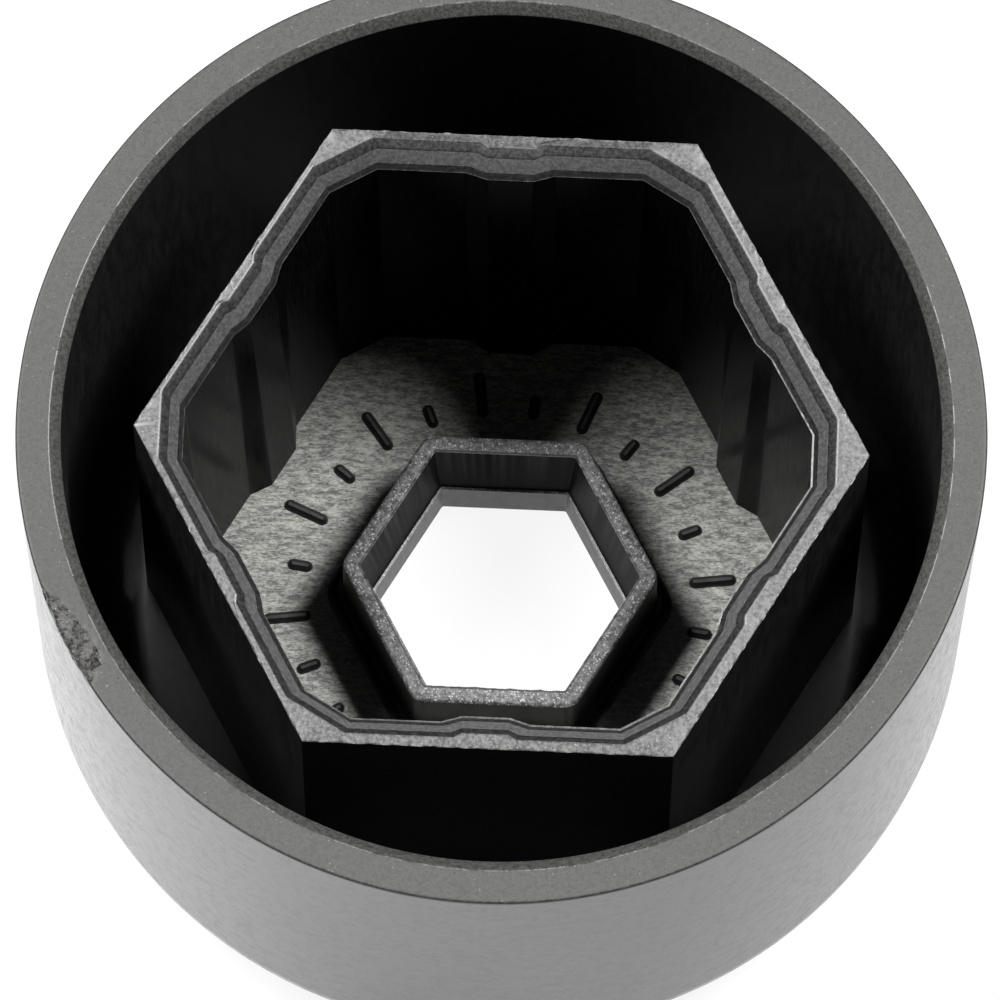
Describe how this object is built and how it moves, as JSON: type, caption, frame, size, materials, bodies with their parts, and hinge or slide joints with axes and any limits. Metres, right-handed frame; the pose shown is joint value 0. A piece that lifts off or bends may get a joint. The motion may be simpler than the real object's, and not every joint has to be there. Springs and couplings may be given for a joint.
{
  "type": "wheel nut cover cap",
  "caption": "Moulded plastic cover cap for a hexagon wheel bolt head: round cup, ribbed hexagon socket inside, tool hole through the closed end.",
  "frame": {"origin": "centre of the flat closed face", "axes": "+Z from the closed face towards the open mouth; the socket's corners lie on the X axis and two of its flats face +Y and -Y"},
  "size_m": [0.029, 0.029, 0.0206],
  "materials": {
    "black_plastic": "black moulded plastic, satin outside and on the rim, smoother inside"
  },
  "bodies": {
    "root": {"nut_cap": "black_plastic"}
  },
  "joints": []
}
